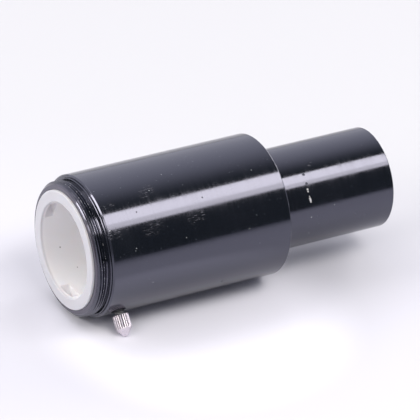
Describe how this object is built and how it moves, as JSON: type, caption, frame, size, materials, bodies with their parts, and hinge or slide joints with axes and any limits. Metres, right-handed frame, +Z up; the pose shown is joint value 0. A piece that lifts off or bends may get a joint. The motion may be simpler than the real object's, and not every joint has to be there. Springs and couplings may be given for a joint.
{
  "type": "t-thread camera adapter",
  "caption": "Tubular telescope camera adapter: male camera thread on a large barrel, slide-in nosepiece, white liner sleeve clamped by a knurled thumbscrew.",
  "frame": {"origin": "centre of the barrel's rear face, on the optical axis, where the nosepiece meets it", "axes": "+X along the optical axis towards the nosepiece's end, -X towards the camera thread; +Z up, with the adapter lying on its barrel and on the point of its thumbscrew; +Y completes the right-handed set"},
  "size_m": [0.1078, 0.0446, 0.0446],
  "materials": {
    "black_anodised": "glossy black anodised",
    "white_plastic": "satin white moulded plastic",
    "nickel": "bright nickel plate",
    "screw_steel": "plain cut thread"
  },
  "bodies": {
    "barrel": {"barrel": "black_anodised", "camera_ring": "black_anodised", "nosepiece": "black_anodised"},
    "sleeve": {"sleeve": "white_plastic"},
    "screw_stud": {"thumbscrew_stud": "screw_steel"},
    "screw_head": {"thumbscrew_head": "nickel"}
  },
  "joints": [
    {"name": "sleeve_slide", "type": "slide", "parent": "barrel", "child": "sleeve", "axis": [-1, 0, 0], "range_m": [0, 0.025]},
    {"name": "screw_travel", "type": "slide", "parent": "barrel", "child": "screw_stud", "axis": [0, -0.6811, -0.7322], "range_m": [0, 0.0025]},
    {"name": "screw_turn", "type": "hinge", "parent": "screw_stud", "child": "screw_head", "pos_m": [-0.05495, 0, 0], "axis": [0, -0.6811, -0.7322], "range_deg": [0, 1800]}
  ],
  "couplings": [
    {"joint": "screw_turn", "follows": "screw_travel", "rad_per_m": 12566}
  ]
}
